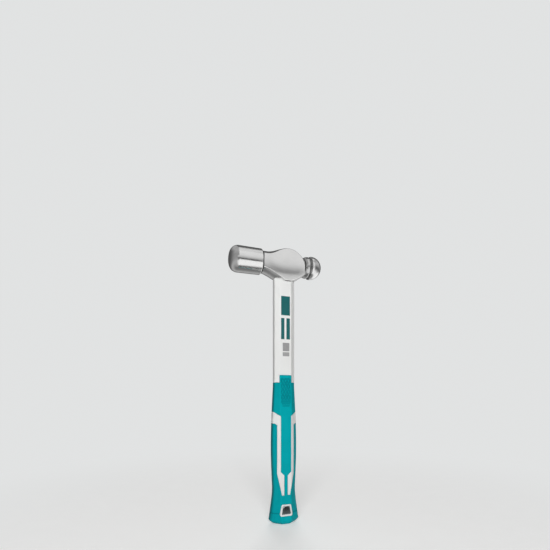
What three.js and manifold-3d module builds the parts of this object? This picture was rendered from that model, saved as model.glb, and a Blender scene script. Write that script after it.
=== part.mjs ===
// Ball peen hammer with a forged head, a fibreglass core, a white plastic jacket
// and a soft grip moulded over it. Millimetres, +Z up along the handle, head on top.
// The striking face looks along -X and the ball along +X. The origin is the middle
// of the butt's flat end.
import * as THREE from 'three';
import { mergeVertices } from 'three/addons/utils/BufferGeometryUtils.js';
import Module from 'manifold-3d';

const wasm = await Module();
wasm.setup();

// Driving dimensions, in millimetres.

// The head, measured along X from the handle's axis and across from the head's axis.
const headHeight = 300;
const faceReach = 64.3;
const faceRadius = 3;
const faceDomeLength = 9.3;
const pollRadius = 14.5;
const pollRearRadius = 14.3;
const pollShoulderReach = 28.7;
const shoulderMidReach = 28.15;
const shoulderMidRadius = 13.5;
const neckGrooveReach = 27.5;
const neckGrooveWidth = 0.5;
const neckGrooveRadius = 10.6;
const neckReach = 26.55;
const neckRadius = 12.2;
const neckEdgeRise = 6.3;
const neckEdgeDrop = 8.1;
const neckRollRise = 2.6;

// The cheeks, the thick middle of the head that the handle passes through.
const cheekHalfThickness = 11.1;
const cheekCrown = 0.45;
const cheekRollIn = 2.4;
const cheekRollDrop = 3;
const cheekWidestReach = 3.4;
const cheekEdgeRise = 15.5;
const cheekEdgeDrop = 20.5;
const cheekRidgeRise = 18.2;
const cheekRidgeDrop = 21.4;
const cheekEndReach = 22.6;
const cheekEndRollDrop = 0.6;
const cheekEndEdgeTop = -1.9;
const cheekEndEdgeDrop = 11.2;
const cheekEndRidgeRise = 9.6;
const cheekEndRidgeDrop = 12;
const crownTopHeight = 17.2;
const undersideDrop = 20.4;

// The peen: a narrow neck, a flared collar, a groove and the ball.
const peenNeckReach = 23.6;
const peenNeckRadius = 9;
const collarStartReach = 24.5;
const collarStartRadius = 11.6;
const collarEndReach = 28.7;
const collarRadius = 12.5;
const grooveReach = 30.2;
const grooveRadius = 10.5;
const ballReach = 33.5;
const ballRadius = 13.2;
const ballStartReach = 31.5;
const ballTipRadius = 0.7;

// The eye through the head, waisted in the middle.
const eyeHalfLength = 11.4;
const eyeHalfWidth = 7.3;
const eyeWaist = 0.9;

// The fibreglass core rod.
const coreHalfLength = 8;
const coreHalfWidth = 4.2;
const coreFoot = 27;
const coreRecess = 1.8;
const resinRecess = 0.9;

// The jacket, an eight-sided section that runs from the head to the grip.
const shaftWidth = 24.4;
const shaftDepth = 14.4;
const shaftFrontFlat = 13.6;
const shaftSideFlat = 6.6;
const shaftCornerRadius = 1.6;
const shaftCope = 3.4;

// The jacket's thinner body inside the grip.
const spineWidth = 17.6;
const spineDepth = 10;
const spineFrontFlat = 9.8;
const spineSideFlat = 4.4;
const spineFoot = 15;

// The grip: a wide butt, a waist, a swell in the palm and the shaft's size at the top.
const gripTop = 162.2;
const buttRounding = 3;
const buttWidth = 34;
const buttDepth = 22;
const buttFrontFlat = 11.5;
const buttSideFlat = 8;
const buttCornerRadius = 6;
const waistHeight = 39;
const waistWidth = 25.4;
const waistDepth = 17.2;
const waistFrontFlat = 13.2;
const waistSideFlat = 7;
const waistCornerRadius = 3.5;
const swellHeight = 83;
const swellWidth = 28.3;
const swellDepth = 18;
const swellFrontFlat = 14.4;
const swellSideFlat = 7.4;
const swellCornerRadius = 3.5;
const buttGrooveHeight = 12.8;
const buttGrooveWidth = 0.7;
const buttGrooveDepth = 0.4;
const tongueHalfWidth = 7.2;
const tongueTop = 170.8;
const tongueCornerRadius = 1.2;
const tongueThickness = 1.5;

// The textured panel near the grip's top, with its dots and bars.
const panelHalfWidth = 5.6;
const panelBottom = 142.3;
const panelTop = 167.3;
const panelDepth = 0.7;
const dotRadius = 1.15;
const dotTopRadius = 0.75;
const dotHeight = 0.6;
const dotPitch = 3.6;
const dotRowPitch = 3.15;
const barHalfLength = 2.6;
const barHeight = 0.9;
const barPitch = 2.35;
const barDepth = 0.5;
const barTop = 138.2;

// The white windows that stand up through the grip on each side of its middle. The mouth
// is where a window opens out to the grip's edge, above the shoulder of its stripe.
const stripeShoulder = 113.5;
const mouthRise = 1.8;
const mouthHeight = 13.3;
const mouthTopFall = 5;
const mouthReach = 13.8;
const stripeInner = 6.4;
const stripeOuter = 10;
const stripeBend = 57.7;
const stripeInnerBend = 60;
const stripeFootBend = 55.7;
const stripeFoot = 33.2;
const stripeFootInner = 2.2;
const stripeFootOuter = 4.8;

// The hanging hole near the butt: the white frame's outline and the hole in it.
const frameBottom = 9.7;
const frameTop = 22.6;
const frameBottomWidth = 15.9;
const frameTopWidth = 11.3;
const frameCornerRadius = 1.9;
const frameBand = 2.3;
const linerWall = 0.7;
const linerRecess = 0.5;

// The label on the shaft's front flat, from above the grip's tongue to below the head.
const labelWidth = 11.4;
const labelDrop = 36;
const labelFootGap = 19.7;
const labelThickness = 0.2;

// Clearances and overruns.
const bondGap = 0.15;
const fitGap = 0.25;
const cutOverrun = 2;

// The face's dome starts at this angle, which leaves a faint edge where the poll begins,
// and its curve is fuller than an ellipse's by this share.
const domeStart = 7 * Math.PI / 180;
const domeFullnessShare = 1.14;

// Where a round section's side becomes a flat: the angle is set by the neck's flats.
const flatAngle = Math.acos(cheekHalfThickness / neckRadius);

// Rows of the head between neck and widest cheek, and from there to the cheek's end.
// Each row holds shares: how far along, then how far the height where the cheek starts to
// roll in, the edge above, the edge below, the ridge above and the ridge below have gone
// from the first section to the last.
const frontShares = [
  [0.0, 0.0, 0.0, 0.0, 0.0, 0.0],
  [0.24, 0.3, 0.05, 0.17, 0.01, 0.25],
  [0.41, 0.58, 0.26, 0.36, 0.2, 0.52],
  [0.64, 0.93, 0.69, 0.66, 0.6, 0.82],
  [0.86, 1.0, 0.95, 0.94, 0.93, 0.97],
  [1.0, 1.0, 1.0, 1.0, 1.0, 1.0],
];
const rearShares = [
  [0.0, 0.0, 0.0, 0.0, 0.0, 0.0],
  [0.29, 0.16, 0.05, 0.18, 0.09, 0.16],
  [0.67, 0.6, 0.31, 0.6, 0.44, 0.56],
  [0.92, 0.92, 0.7, 0.92, 0.85, 0.9],
  [1.0, 1.0, 1.0, 1.0, 1.0, 1.0],
];

// Shares for the rows between the grip's named sections, from one to the next: how far
// up, then how far the widths and the depths have gone.
const gripShares = [
  [[0.14, 0.15, 0.13], [0.43, 0.49, 0.48], [0.69, 0.8, 0.82]],
  [[0.25, 0.28, 0.17]],
  [[0.4, 0.18, 0.08], [0.58, 0.41, 0.23], [0.78, 0.72, 0.62]],
];

// Facet counts.
const capSegments = 10;
const sideSegments = 8;
const domeSteps = 7;
const cheekSteps = 11;
const ballSteps = 8;
const cornerSegments = 3;
const gripSteps = 30;
const ellipseSegments = 28;
const dotSegments = 8;

const materials = {
  steel: { color: 0xc9c9c7, roughness: 0.28, metalness: 1 },
  resin: { color: 0x8a7a4a, roughness: 0.35, metalness: 0 },
  fibreglass: { color: 0xcbbf8e, roughness: 0.6, metalness: 0 },
  white: { color: 0xebede8, roughness: 0.4, metalness: 0 },
  teal: { color: 0x048b92, roughness: 0.55, metalness: 0 },
  dark: { color: 0x34383a, roughness: 0.6, metalness: 0 },
  label: { color: 0xf2f3f0, roughness: 0.35, metalness: 0 },
};

// Makes a closed geometry from rings with the same number of points each.
// Rings go round counter-clockwise seen from the last ring's end.
function loft(rings) {
  const count = rings[0].length;
  const position = rings.flat().flatMap((p) => [p.x, p.y, p.z]);
  const index = [];
  for (let i = 0; i + 1 < rings.length; i += 1) {
    for (let k = 0; k < count; k += 1) {
      const a = i * count + k;
      const b = i * count + (k + 1) % count;
      index.push(a, b, b + count, a, b + count, a + count);
    }
  }
  for (const [ring, first] of [[rings[0], true], [rings.at(-1), false]]) {
    const centre = ring.reduce((sum, p) => sum.add(p), new THREE.Vector3());
    centre.divideScalar(count);
    const middle = position.length / 3;
    position.push(centre.x, centre.y, centre.z);
    const start = first ? 0 : (rings.length - 1) * count;
    for (let k = 0; k < count; k += 1) {
      const a = start + k;
      const b = start + (k + 1) % count;
      index.push(...(first ? [middle, b, a] : [middle, a, b]));
    }
  }
  const geometry = new THREE.BufferGeometry();
  geometry.setAttribute('position', new THREE.Float32BufferAttribute(position, 3));
  geometry.setIndex(index);
  return geometry;
}

// Turns a closed geometry into a solid that can be cut and joined.
function solid(geometry) {
  const bare = geometry.clone();
  bare.deleteAttribute('normal');
  bare.deleteAttribute('uv');
  const merged = mergeVertices(bare);
  return new wasm.Manifold(new wasm.Mesh({
    numProp: 3,
    vertProperties: new Float32Array(merged.attributes.position.array),
    triVerts: new Uint32Array(merged.index.array),
  }));
}

function named(name, body, material) {
  const cut = body.getMesh();
  const geometry = new THREE.BufferGeometry();
  geometry.setAttribute('position', new THREE.BufferAttribute(cut.vertProperties, 3));
  geometry.setIndex(new THREE.BufferAttribute(cut.triVerts, 1));
  geometry.computeVertexNormals();
  const mesh = new THREE.Mesh(geometry, new THREE.MeshStandardMaterial(materials[material]));
  mesh.name = name;
  return mesh;
}

// A box from its lowest to its highest corner.
function block(low, high) {
  const size = new THREE.Vector3().subVectors(high, low);
  const box = new THREE.BoxGeometry(size.x, size.y, size.z);
  const middle = low.clone().add(high).divideScalar(2);
  return solid(box.translate(middle.x, middle.y, middle.z));
}

// Rounds the corners of a polygon, each with its own arc of the given radius.
function rounded(points, radius, segments) {
  const out = [];
  points.forEach((corner, i) => {
    const before = points.at(i - 1).clone().sub(corner).normalize();
    const after = points[(i + 1) % points.length].clone().sub(corner).normalize();
    const half = Math.acos(before.dot(after)) / 2;
    const bisector = before.clone().add(after).normalize();
    const centre = corner.clone().addScaledVector(bisector, radius / Math.sin(half));
    const start = corner.clone().addScaledVector(before, radius / Math.tan(half)).sub(centre);
    const turn = Math.sign(before.cross(after)) * (Math.PI - 2 * half);
    for (let k = 0; k <= segments; k += 1) {
      const arm = start.clone().rotateAround(new THREE.Vector2(), -turn * k / segments);
      out.push(centre.clone().add(arm));
    }
  });
  return out;
}

// A prism along Y whose outline is drawn in X and Z, reaching the same way to both sides.
function prism(outline, reach) {
  const geometry = new THREE.ExtrudeGeometry(new THREE.Shape(outline), {
    depth: 2 * reach,
    bevelEnabled: false,
  });
  return solid(geometry.rotateX(Math.PI / 2).translate(0, reach, 0));
}

// An eight-sided section with rounded corners, at one height.
function octagonRing(width, depth, frontFlat, sideFlat, radius, height) {
  const x = width / 2;
  const y = depth / 2;
  const flatX = frontFlat / 2;
  const flatY = sideFlat / 2;
  const corners = [
    [x, -flatY], [x, flatY], [flatX, y], [-flatX, y],
    [-x, flatY], [-x, -flatY], [-flatX, -y], [flatX, -y],
  ].map(([a, b]) => new THREE.Vector2(a, b));
  return rounded(corners, radius, cornerSegments)
    .map((p) => new THREE.Vector3(p.x, p.y, height));
}

function ellipseRing(halfLength, halfWidth, height) {
  const ring = [];
  for (let k = 0; k < ellipseSegments; k += 1) {
    const turn = 2 * Math.PI * k / ellipseSegments;
    ring.push(new THREE.Vector3(halfLength * Math.cos(turn), halfWidth * Math.sin(turn), height));
  }
  return ring;
}

// Points on an arc from one corner over its middle to the other, in (across, along).
// The chord is symmetric about across = 0, the rise is from the chord to the middle.
function arcOver(halfChord, rise, segments) {
  const radius = (halfChord ** 2 + rise ** 2) / (2 * rise);
  const half = Math.atan2(halfChord, radius - rise);
  const points = [];
  for (let k = 0; k < segments; k += 1) {
    const turn = half * (1 - 2 * k / segments);
    points.push([radius * Math.sin(turn), radius * Math.cos(turn) - radius + rise]);
  }
  return points;
}

// One section of the head at a reach along X. The sides go from edge to edge, half as
// thick at each height as halfAt says, and the top and bottom are arcs over the ridges.
// A grown section keeps a clearance.
function headRing({ reach, halfAt, edgeTop, edgeBottom, ridgeTop, ridgeBottom }, grow) {
  const place = (y, z) => new THREE.Vector3(reach, y, headHeight + z);
  const wideTop = halfAt(edgeTop) + grow;
  const wideBottom = halfAt(edgeBottom) + grow;
  const top = arcOver(wideTop, ridgeTop + grow - edgeTop, capSegments);
  const bottom = arcOver(wideBottom, edgeBottom - ridgeBottom + grow, capSegments);
  const near = [];
  const far = [];
  for (let k = 0; k < sideSegments; k += 1) {
    const down = THREE.MathUtils.lerp(edgeTop, edgeBottom, k / sideSegments);
    const up = THREE.MathUtils.lerp(edgeBottom, edgeTop, k / sideSegments);
    near.push(place(-halfAt(down) - grow, down));
    far.push(place(halfAt(up) + grow, up));
  }
  return [
    ...top.map(([a, h]) => place(a, edgeTop + h)),
    ...near,
    ...bottom.map(([a, h]) => place(-a, edgeBottom - h)),
    ...far,
  ];
}

function roundSection(reach, radius) {
  return {
    reach,
    halfAt: (z) => Math.sqrt(radius ** 2 - z ** 2),
    edgeTop: radius * Math.sin(flatAngle),
    edgeBottom: -radius * Math.sin(flatAngle),
    ridgeTop: radius,
    ridgeBottom: -radius,
  };
}

// Half the thickness between the cheeks at each height: a faint crown above the height
// where they start to roll in, and the roll towards the lower edge below it.
function cheekSide(rollTop) {
  const rollRate = cheekRollIn / (cheekEdgeDrop - cheekRollDrop) ** 2;
  const crownRate = cheekCrown / (cheekEdgeRise + cheekRollDrop) ** 2;
  return (z) => cheekHalfThickness - (z < rollTop ? rollRate : crownRate) * (z - rollTop) ** 2;
}

// Sections between two given ones, following a table of shares with a smooth curve.
function between(first, last, shares) {
  const sizes = Object.keys(first);
  const stride = shares[0].length - 1;
  const curve = new THREE.CubicInterpolant(
    shares.map((row) => row[0]),
    shares.flatMap((row) => row.slice(1)),
    stride,
    new Float64Array(stride),
  );
  const sections = [];
  for (let k = 0; k <= cheekSteps; k += 1) {
    const share = k / cheekSteps;
    const follow = [share, ...curve.evaluate(share)];
    const { rollTop, ...section } = Object.fromEntries(sizes.map((size, i) => [
      size,
      THREE.MathUtils.lerp(first[size], last[size], follow[i]),
    ]));
    sections.push({ ...section, halfAt: cheekSide(rollTop) });
  }
  return sections;
}

function cheekSections() {
  const neck = {
    reach: -neckReach,
    rollTop: neckRollRise,
    edgeTop: neckEdgeRise,
    edgeBottom: -neckEdgeDrop,
    ridgeTop: neckRadius,
    ridgeBottom: -neckRadius,
  };
  const widest = {
    reach: cheekWidestReach,
    rollTop: -cheekRollDrop,
    edgeTop: cheekEdgeRise,
    edgeBottom: -cheekEdgeDrop,
    ridgeTop: cheekRidgeRise,
    ridgeBottom: -cheekRidgeDrop,
  };
  const end = {
    reach: cheekEndReach,
    rollTop: -cheekEndRollDrop,
    edgeTop: cheekEndEdgeTop,
    edgeBottom: -cheekEndEdgeDrop,
    ridgeTop: cheekEndRidgeRise,
    ridgeBottom: -cheekEndRidgeDrop,
  };
  return [...between(neck, widest, frontShares), ...between(widest, end, rearShares).slice(1)];
}

// The forged blank of the head, without its eye, grown by a clearance all round.
function headBlank(grow) {
  const face = [];
  for (let k = 0; k <= domeSteps; k += 1) {
    const turn = THREE.MathUtils.lerp(Math.PI / 2, domeStart, k / domeSteps);
    const rise = (Math.sin(turn) - Math.sin(domeStart)) / (1 - Math.sin(domeStart));
    const along = rise ** (1 / domeFullnessShare);
    const out = (Math.cos(turn) / Math.cos(domeStart)) ** (1 / domeFullnessShare);
    face.push(roundSection(
      faceDomeLength * (1 - along) - faceReach,
      THREE.MathUtils.lerp(faceRadius, pollRadius, out),
    ));
  }
  face.push(
    roundSection(-pollShoulderReach, pollRearRadius),
    roundSection(-shoulderMidReach, shoulderMidRadius),
    roundSection(-neckGrooveReach, neckGrooveRadius),
    roundSection(neckGrooveWidth - neckGrooveReach, neckGrooveRadius),
  );
  const peen = [
    roundSection(peenNeckReach, peenNeckRadius),
    roundSection(collarStartReach, collarStartRadius),
    roundSection(collarEndReach, collarRadius),
    roundSection(grooveReach, grooveRadius),
  ];
  const start = Math.asin((ballStartReach - ballReach) / ballRadius);
  const stop = Math.acos(ballTipRadius / ballRadius);
  for (let k = 0; k <= ballSteps; k += 1) {
    const turn = THREE.MathUtils.lerp(start, stop, k / ballSteps);
    peen.push(roundSection(
      ballReach + ballRadius * Math.sin(turn),
      ballRadius * Math.cos(turn),
    ));
  }
  const rings = [...face, ...cheekSections(), ...peen].map((section) => headRing(section, grow));
  const whole = solid(loft(rings));
  const wide = faceReach + ballReach + ballRadius;
  return whole.intersect(block(
    new THREE.Vector3(-wide, -wide, headHeight - undersideDrop - grow),
    new THREE.Vector3(wide, wide, headHeight + crownTopHeight + grow),
  ));
}

// The eye's space, or what fills it when a gap is kept.
function eyeSpace(gap, low, high) {
  const waistHeight = headHeight + (crownTopHeight - undersideDrop) / 2;
  return solid(loft([
    ellipseRing(eyeHalfLength - gap, eyeHalfWidth - gap, low),
    ellipseRing(eyeHalfLength - eyeWaist - gap, eyeHalfWidth - eyeWaist - gap, waistHeight),
    ellipseRing(eyeHalfLength - gap, eyeHalfWidth - gap, high),
  ]));
}

function core(gap, low, high) {
  return solid(loft([
    ellipseRing(coreHalfLength + gap, coreHalfWidth + gap, low),
    ellipseRing(coreHalfLength + gap, coreHalfWidth + gap, high),
  ]));
}

const underside = headHeight - undersideDrop;
const headTop = headHeight + crownTopHeight;

function head() {
  const eye = eyeSpace(0, underside - cutOverrun, headTop + cutOverrun);
  return headBlank(0).subtract(eye);
}

function eyeResin() {
  const fill = eyeSpace(bondGap, underside - cutOverrun, headTop + cutOverrun);
  const kept = fill.intersect(headBlank(-bondGap));
  const above = block(
    new THREE.Vector3(-faceReach, -faceReach, headTop - resinRecess),
    new THREE.Vector3(faceReach, faceReach, headTop + cutOverrun),
  );
  return kept.subtract(above).subtract(core(bondGap, underside - cutOverrun, headTop + cutOverrun));
}

// The grip's sections as a smooth curve over height: width, depth, front flat, side
// flat and corner radius.
const gripSections = [
  [buttRounding, buttWidth, buttDepth, buttFrontFlat, buttSideFlat, buttCornerRadius],
  [waistHeight, waistWidth, waistDepth, waistFrontFlat, waistSideFlat, waistCornerRadius],
  [swellHeight, swellWidth, swellDepth, swellFrontFlat, swellSideFlat, swellCornerRadius],
  [gripTop, shaftWidth, shaftDepth, shaftFrontFlat, shaftSideFlat, shaftCornerRadius],
];
const gripRows = gripSections.flatMap((from, i) => {
  const to = gripSections[i + 1];
  const rows = (gripShares[i] ?? []).map(([up, across, deep]) => {
    const follow = [up, across, deep, across, deep, across];
    return from.map((size, k) => THREE.MathUtils.lerp(size, to[k], follow[k]));
  });
  return [from, ...rows];
});
const gripCurve = new THREE.CubicInterpolant(
  gripRows.map((row) => row[0]),
  gripRows.flatMap((row) => row.slice(1)),
  gripRows[0].length - 1,
  new Float64Array(gripRows[0].length - 1),
);

// The grip's outer form, solid all through, or drawn in by an inset.
function gripForm(drawnIn = 0) {
  const rings = [];
  for (let k = 0; k < cornerSegments; k += 1) {
    const turn = Math.PI / 2 * k / cornerSegments;
    const inset = buttRounding * (1 - Math.sin(turn)) + drawnIn;
    rings.push(octagonRing(buttWidth - 2 * inset, buttDepth - 2 * inset, buttFrontFlat - inset,
      buttSideFlat - inset, buttCornerRadius - inset, buttRounding * (1 - Math.cos(turn))));
  }
  for (let k = 0; k <= gripSteps; k += 1) {
    const height = THREE.MathUtils.lerp(buttRounding, gripTop, k / gripSteps);
    const [wide, deep, front, side, corner] = gripCurve.evaluate(height);
    rings.push(octagonRing(wide - 2 * drawnIn, deep - 2 * drawnIn, front - drawnIn,
      side - drawnIn, corner - drawnIn, height));
  }
  return solid(loft(rings));
}

function shaftForm(low, high) {
  const ring = (height) => octagonRing(shaftWidth, shaftDepth, shaftFrontFlat,
    shaftSideFlat, shaftCornerRadius, height);
  return solid(loft([ring(low), ring(high)]));
}

function spineForm(gap, low, high) {
  const ring = (height) => octagonRing(spineWidth + 2 * gap, spineDepth + 2 * gap,
    spineFrontFlat + gap, spineSideFlat + gap, shaftCornerRadius, height);
  return solid(loft([ring(low), ring(high)]));
}

const gripReach = buttWidth;

// The tongue's outline, on the shaft's front and back flats above the grip.
function tongueForm(gap, low) {
  const half = tongueHalfWidth + gap;
  const corners = [
    [-half, low], [half, low], [half, tongueTop + gap], [-half, tongueTop + gap],
  ].map(([x, z]) => new THREE.Vector2(x, z));
  const arcs = rounded(corners, tongueCornerRadius, cornerSegments);
  const outline = [corners[0], corners[1], ...arcs.slice(2 * (cornerSegments + 1))];
  const whole = prism(outline, gripReach);
  const inner = shaftDepth / 2 - tongueThickness - gap;
  return whole.subtract(block(
    new THREE.Vector3(-gripReach, -inner, low - cutOverrun),
    new THREE.Vector3(gripReach, inner, tongueTop + cutOverrun),
  ));
}

// The windows' outlines, grown by a gap where the grip is cut for them.
function windowForms(gap) {
  const mouthBottom = stripeShoulder + mouthRise;
  const mouthTop = mouthBottom + mouthHeight;
  const outline = [
    [gripReach, mouthTop + gap],
    [mouthReach, mouthTop + gap],
    [stripeInner - gap, mouthTop - mouthTopFall + gap],
    [stripeInner - gap, stripeInnerBend - gap],
    [stripeFootInner - gap, stripeFootBend - gap],
    [stripeFootInner - gap, stripeFoot - gap],
    [stripeFootOuter + gap, stripeFoot - gap],
    [stripeOuter + gap, stripeBend],
    [stripeOuter + gap, stripeShoulder - gap],
    [shaftWidth / 2, mouthBottom - gap],
    [gripReach, mouthBottom - gap],
  ];
  const side = (sign) => prism(
    outline.map(([x, z]) => new THREE.Vector2(sign * x, z)),
    gripReach,
  );
  return side(-1).add(side(1));
}

// A rounded trapezium about the hanging hole, drawn in from the frame's outline.
function framePrism(inset, reach) {
  const lean = (frameBottomWidth - frameTopWidth) / 2 / (frameTop - frameBottom);
  const low = frameBottom + inset;
  const high = frameTop - inset;
  const slant = inset * Math.hypot(1, lean);
  const half = (height) => frameBottomWidth / 2 - (height - frameBottom) * lean - slant;
  const corners = [
    [-half(low), low], [half(low), low], [half(high), high], [-half(high), high],
  ].map(([x, z]) => new THREE.Vector2(x, z));
  const radius = Math.max(frameCornerRadius - inset, frameCornerRadius / 2);
  return prism(rounded(corners, radius, cornerSegments), reach);
}

function jacket() {
  const low = gripTop + fitGap;
  const upper = shaftForm(low, underside + shaftCope)
    .subtract(headBlank(fitGap))
    .subtract(tongueForm(fitGap, low - cutOverrun));
  const outer = gripForm();
  const pads = outer.intersect(windowForms(0));
  const eyelet = outer.intersect(framePrism(0, gripReach));
  return upper
    .add(spineForm(0, spineFoot, low + cutOverrun))
    .add(pads)
    .add(eyelet)
    .subtract(framePrism(frameBand, gripReach))
    .subtract(core(bondGap, coreFoot - bondGap, headTop));
}

function coreRod() {
  return core(0, coreFoot, headTop - coreRecess);
}

// The places of the textured panel's dots, in staggered rows.
function dotPlaces() {
  const rows = Math.floor((panelTop - panelBottom) / dotRowPitch);
  const spread = (panelTop - panelBottom - (rows - 1) * dotRowPitch) / 2;
  const places = [];
  for (let row = 0; row < rows; row += 1) {
    const height = panelBottom + spread + row * dotRowPitch;
    const across = row % 2 === 0 ? [-1, 0, 1] : [-1 / 2, 1 / 2];
    across.forEach((step) => places.push([step * dotPitch, height]));
  }
  return places;
}

// A raised dot on the panel's floor, on the front (side -1) or the back (side 1).
function dot(x, height, side) {
  const peg = new THREE.CylinderGeometry(dotTopRadius, dotRadius, dotHeight + panelDepth,
    dotSegments);
  if (side < 0) {
    peg.rotateZ(Math.PI);
  }
  const middle = surfaceHalfDepth(height) - panelDepth + (dotHeight - panelDepth) / 2;
  return solid(peg.translate(x, side * middle, height));
}

// What is cut from the grip's front and back: the panel's floor, two bars and a groove.
function gripCuts(surface) {
  const panel = [
    [-panelHalfWidth, panelBottom], [panelHalfWidth, panelBottom],
    [panelHalfWidth, panelTop], [-panelHalfWidth, panelTop],
  ].map(([x, z]) => new THREE.Vector2(x, z));
  const sunk = (outline, depth) => outline.subtract(
    surface.translate(0, depth, 0).intersect(surface.translate(0, -depth, 0)),
  );
  const bar = (top) => block(
    new THREE.Vector3(-barHalfLength, -gripReach, top - barHeight),
    new THREE.Vector3(barHalfLength, gripReach, top),
  );
  const bars = bar(barTop).add(bar(barTop - barPitch));
  const groove = block(
    new THREE.Vector3(-gripReach, -gripReach, buttGrooveHeight - buttGrooveWidth / 2),
    new THREE.Vector3(gripReach, gripReach, buttGrooveHeight + buttGrooveWidth / 2),
  ).subtract(gripForm(buttGrooveDepth));
  return sunk(prism(panel, gripReach), panelDepth).add(sunk(bars, barDepth)).add(groove);
}

function gripSleeve() {
  const tongue = shaftForm(gripTop - cutOverrun, tongueTop).intersect(
    tongueForm(0, gripTop - cutOverrun),
  );
  const surface = gripForm().add(tongue);
  let body = surface
    .subtract(gripCuts(surface))
    .subtract(spineForm(fitGap, spineFoot - fitGap, gripTop + cutOverrun))
    .subtract(windowForms(fitGap))
    .subtract(framePrism(-fitGap, gripReach));
  dotPlaces().forEach(([x, height]) => {
    body = body.add(dot(x, height, -1)).add(dot(x, height, 1));
  });
  return body;
}

// Half the grip's depth at a height, on its middle line.
function surfaceHalfDepth(height) {
  return height > gripTop ? shaftDepth / 2 : gripCurve.evaluate(height)[1] / 2;
}

function hangHoleLiner() {
  const outer = gripForm(linerRecess).intersect(framePrism(frameBand + bondGap, gripReach));
  return outer.subtract(framePrism(frameBand + bondGap + linerWall, gripReach));
}

function frontLabel() {
  const front = -shaftDepth / 2;
  return block(
    new THREE.Vector3(-labelWidth / 2, front - labelThickness, tongueTop + labelFootGap),
    new THREE.Vector3(labelWidth / 2, front, headHeight - labelDrop),
  );
}

const group = new THREE.Group();
group.add(
  named('head', head(), 'steel'),
  named('eye_resin', eyeResin(), 'resin'),
  named('core_rod', coreRod(), 'fibreglass'),
  named('handle_jacket', jacket(), 'white'),
  named('grip_sleeve', gripSleeve(), 'teal'),
  named('hang_hole_liner', hangHoleLiner(), 'dark'),
  named('front_label', frontLabel(), 'label'),
);

export default group;
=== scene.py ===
import math

import bmesh
import bpy
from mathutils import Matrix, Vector


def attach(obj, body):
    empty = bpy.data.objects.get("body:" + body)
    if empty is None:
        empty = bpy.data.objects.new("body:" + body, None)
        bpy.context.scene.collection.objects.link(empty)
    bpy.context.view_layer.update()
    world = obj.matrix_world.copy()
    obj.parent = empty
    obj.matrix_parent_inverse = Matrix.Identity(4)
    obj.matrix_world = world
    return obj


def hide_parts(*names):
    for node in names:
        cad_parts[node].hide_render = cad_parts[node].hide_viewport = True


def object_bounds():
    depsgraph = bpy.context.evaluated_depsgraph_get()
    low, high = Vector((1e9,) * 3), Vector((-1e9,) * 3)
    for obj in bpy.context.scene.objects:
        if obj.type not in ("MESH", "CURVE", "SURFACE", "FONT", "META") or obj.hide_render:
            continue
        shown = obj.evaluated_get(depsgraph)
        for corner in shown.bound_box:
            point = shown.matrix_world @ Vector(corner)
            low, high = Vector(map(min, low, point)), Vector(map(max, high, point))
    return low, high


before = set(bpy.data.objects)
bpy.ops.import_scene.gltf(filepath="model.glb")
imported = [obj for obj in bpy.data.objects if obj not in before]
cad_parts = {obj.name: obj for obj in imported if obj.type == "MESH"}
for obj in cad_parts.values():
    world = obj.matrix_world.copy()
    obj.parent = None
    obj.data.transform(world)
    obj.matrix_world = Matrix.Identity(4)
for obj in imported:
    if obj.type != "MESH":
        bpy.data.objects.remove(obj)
cad_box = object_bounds()
scene = bpy.context.scene
MM = 0.001

# The camera
IMAGE_PX = 550.0
FOCAL_PX = 350.0
CENTRE_PX = (283.5, 395.0)
SENSOR = 36.0
YAW = math.radians(20.0)
DISTANCE = 409.5
EYE_HEIGHT = 148.0
CLIP = (0.01, 50.0)

camera_data = bpy.data.cameras.new("camera")
camera = bpy.data.objects.new("camera", camera_data)
scene.collection.objects.link(camera)
scene.camera = camera
camera_data.sensor_width = SENSOR
camera_data.lens = FOCAL_PX / IMAGE_PX * SENSOR
camera_data.shift_x = (IMAGE_PX / 2 - CENTRE_PX[0]) / IMAGE_PX
camera_data.shift_y = (CENTRE_PX[1] - IMAGE_PX / 2) / IMAGE_PX
camera_data.clip_start, camera_data.clip_end = CLIP
camera.location = (
    -DISTANCE * math.sin(YAW) * MM, -DISTANCE * math.cos(YAW) * MM, EYE_HEIGHT * MM)
camera.rotation_euler = (math.pi / 2, 0.0, -YAW)

# Sizes in millimetres that shapes and paints share. A section of the handle is an octagon: its
# width and depth, the widths of its front and side flats, and the radius of its corners.
HEAD_Z = 300.0
SHAFT = (24.4, 14.4, 13.6, 6.6, 1.6)
SPINE = (17.6, 10.0, 9.8, 4.4, 1.6)
GRIP_TOP = 162.2
PANEL = (142.3, 167.3)
BARS = ((4.8, 137.3, 138.2), (4.2, 134.95, 135.85))
BUTT_GROOVE = (12.45, 13.15)
DOT_PITCH = (3.6, 3.15)
DOT_ROWS = int((PANEL[1] - PANEL[0]) / DOT_PITCH[1])
FIRST_DOTS = (PANEL[0] + PANEL[1] - (DOT_ROWS - 1) * DOT_PITCH[1]) / 2
# The gap around moulded pieces, and how far cutters reach into and past a body
GAP = 0.25
OVERLAP = 2
OVERRUN = 30


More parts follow.
